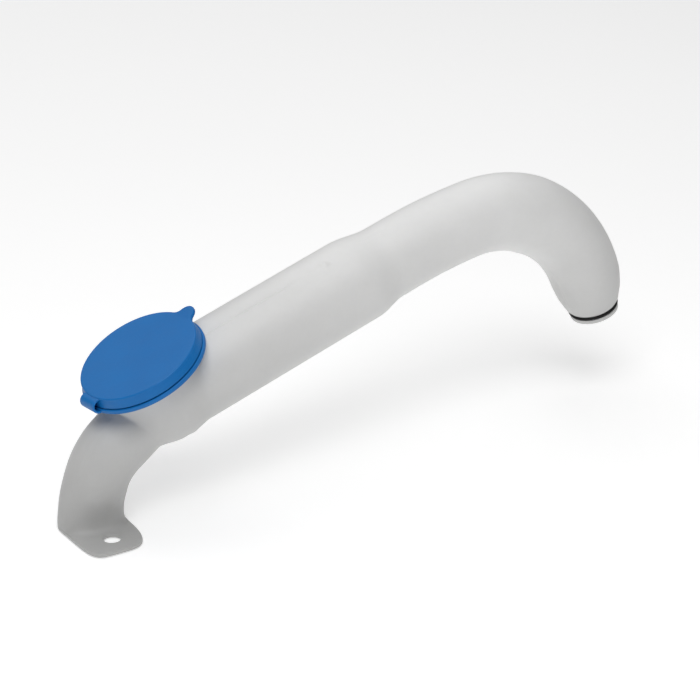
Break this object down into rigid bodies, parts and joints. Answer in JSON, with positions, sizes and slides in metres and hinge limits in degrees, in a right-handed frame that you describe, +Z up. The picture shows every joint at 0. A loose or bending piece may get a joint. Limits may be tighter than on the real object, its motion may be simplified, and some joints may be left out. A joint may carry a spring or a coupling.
{
  "type": "washer fluid filler neck with snap cap",
  "caption": "Bent hollow plastic filler neck with a side mouth, hinged blue snap cap on a swivelling ring, bolt-down foot and sealed outlet spigot.",
  "frame": {"origin": "centre of the foot's bolt hole, on the underside of the foot", "axes": "+Z up along the bolt hole, +X from the foot towards the outlet; the neck's centreline lies in the plane y = 22.0 mm"},
  "size_m": [0.3449, 0.0691, 0.1394],
  "materials": {
    "natural_hdpe": "milky translucent natural polyethylene, satin",
    "seal_rubber": "black rubber, satin",
    "blue_cap": "blue flexible plastic, satin"
  },
  "bodies": {
    "neck": {"filler_neck": "natural_hdpe", "mouth_collar": "natural_hdpe", "outlet_seal": "seal_rubber"},
    "ring": {"cap_ring": "blue_cap", "strap_ring_half": "blue_cap"},
    "lid": {"cap_lid": "blue_cap", "strap_lid_half": "blue_cap"}
  },
  "joints": [
    {"name": "ring_swivel", "type": "hinge", "parent": "neck", "child": "ring", "pos_m": [0.02896, 0.022, 0.08498], "axis": [-0.4602, 0, 0.8878], "continuous": true},
    {"name": "lid_hinge", "type": "hinge", "parent": "ring", "child": "lid", "pos_m": [-0.00097, 0.01918, 0.06474], "axis": [0.0697, -0.9969, 0.0361], "range_deg": [0, 165]}
  ]
}
